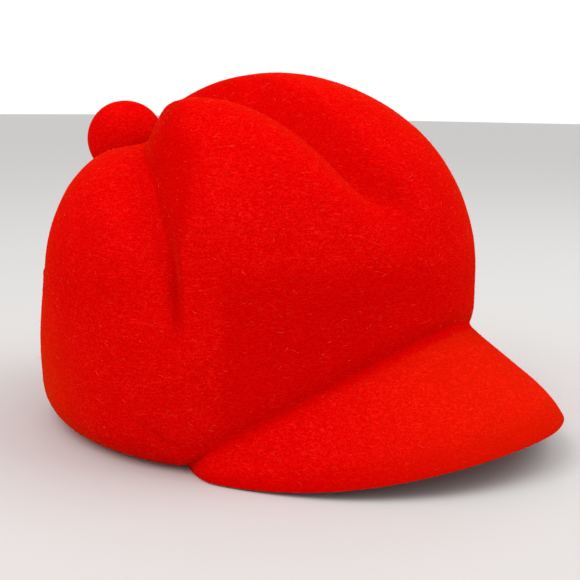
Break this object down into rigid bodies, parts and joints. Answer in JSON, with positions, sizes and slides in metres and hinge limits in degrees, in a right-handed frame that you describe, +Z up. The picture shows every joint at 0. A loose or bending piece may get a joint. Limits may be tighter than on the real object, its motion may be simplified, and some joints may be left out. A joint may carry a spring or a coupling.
{
  "type": "beehive hat",
  "caption": "Moulded red wool-felt cap with a puffed, creased crown, a felt ball at the upper rear and a sloping peak.",
  "frame": {"origin": "middle of the whole hat seen from above, at the level of the surface that it rests on", "axes": "-Y to the front of the hat, where the peak is, +X to the wearer's left, +Z up"},
  "size_m": [0.2416, 0.2932, 0.1862],
  "materials": {
    "cap_felt": "matte wool felt",
    "ball_felt": "matte wool felt"
  },
  "bodies": {
    "root": {"felt_cap": "cap_felt", "felt_ball": "ball_felt"}
  },
  "joints": []
}
